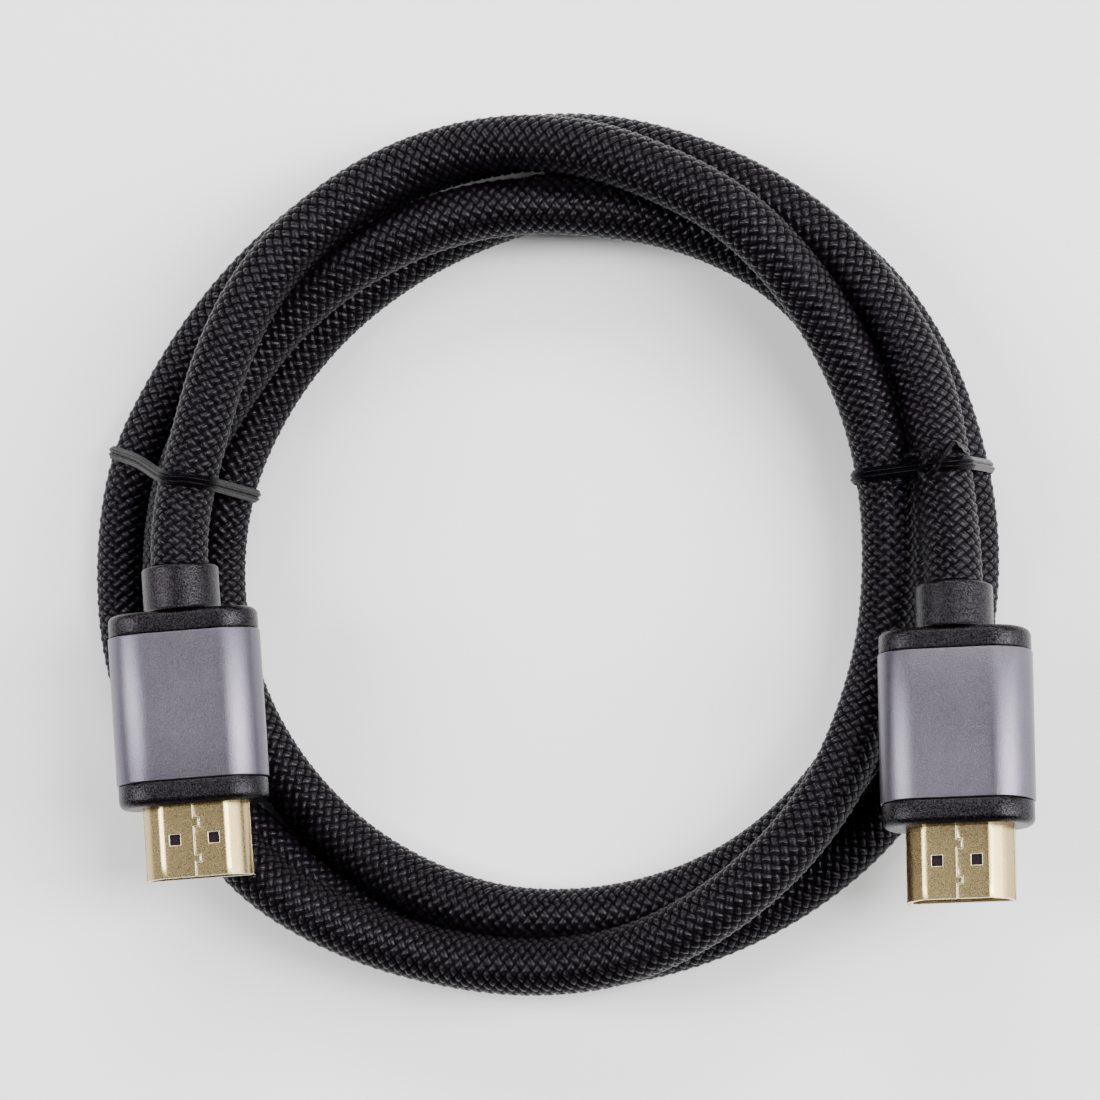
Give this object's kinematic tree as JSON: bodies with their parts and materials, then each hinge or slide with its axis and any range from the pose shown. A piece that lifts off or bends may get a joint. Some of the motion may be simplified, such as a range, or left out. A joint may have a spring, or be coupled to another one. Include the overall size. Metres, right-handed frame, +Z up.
{
  "type": "hdmi cable",
  "caption": "Braided video lead with a gold-plated plug on each end, wound into a flat coil and held by wire ties.",
  "frame": {"origin": "middle of the coil's bounding box, on the surface that it lies on", "axes": "+Z up out of the flat coil; the plugs lie at -X and +X with their mouths towards -Y"},
  "size_m": [0.1256, 0.1156, 0.0292],
  "materials": {
    "braid": "woven nylon",
    "black_plastic": "fine grain",
    "sleeve_metal": "satin anodised",
    "gold_plate": "bright plated",
    "insulator_plastic": "moulded",
    "contact_plate": "bright plated",
    "tie_wrap": "glossy"
  },
  "bodies": {
    "root": {"cable": "braid", "left_overmould": "black_plastic", "left_sleeve": "sleeve_metal", "left_front_cap": "black_plastic", "left_shell": "gold_plate", "left_insulator": "insulator_plastic", "left_tie": "tie_wrap", "left_upper_contact_1": "contact_plate", "left_upper_contact_2": "contact_plate", "left_upper_contact_3": "contact_plate", "left_upper_contact_4": "contact_plate", "left_upper_contact_5": "contact_plate", "left_upper_contact_6": "contact_plate", "left_upper_contact_7": "contact_plate", "left_upper_contact_8": "contact_plate", "left_upper_contact_9": "contact_plate", "left_lower_contact_1": "contact_plate", "left_lower_contact_2": "contact_plate", "left_lower_contact_3": "contact_plate", "left_lower_contact_4": "contact_plate", "left_lower_contact_5": "contact_plate", "left_lower_contact_6": "contact_plate", "left_lower_contact_7": "contact_plate", "left_lower_contact_8": "contact_plate", "left_lower_contact_9": "contact_plate", "left_lower_contact_10": "contact_plate", "right_overmould": "black_plastic", "right_sleeve": "sleeve_metal", "right_front_cap": "black_plastic", "right_shell": "gold_plate", "right_insulator": "insulator_plastic", "right_tie": "tie_wrap", "right_upper_contact_1": "contact_plate", "right_upper_contact_2": "contact_plate", "right_upper_contact_3": "contact_plate", "right_upper_contact_4": "contact_plate", "right_upper_contact_5": "contact_plate", "right_upper_contact_6": "contact_plate", "right_upper_contact_7": "contact_plate", "right_upper_contact_8": "contact_plate", "right_upper_contact_9": "contact_plate", "right_lower_contact_1": "contact_plate", "right_lower_contact_2": "contact_plate", "right_lower_contact_3": "contact_plate", "right_lower_contact_4": "contact_plate", "right_lower_contact_5": "contact_plate", "right_lower_contact_6": "contact_plate", "right_lower_contact_7": "contact_plate", "right_lower_contact_8": "contact_plate", "right_lower_contact_9": "contact_plate", "right_lower_contact_10": "contact_plate"}
  },
  "joints": []
}
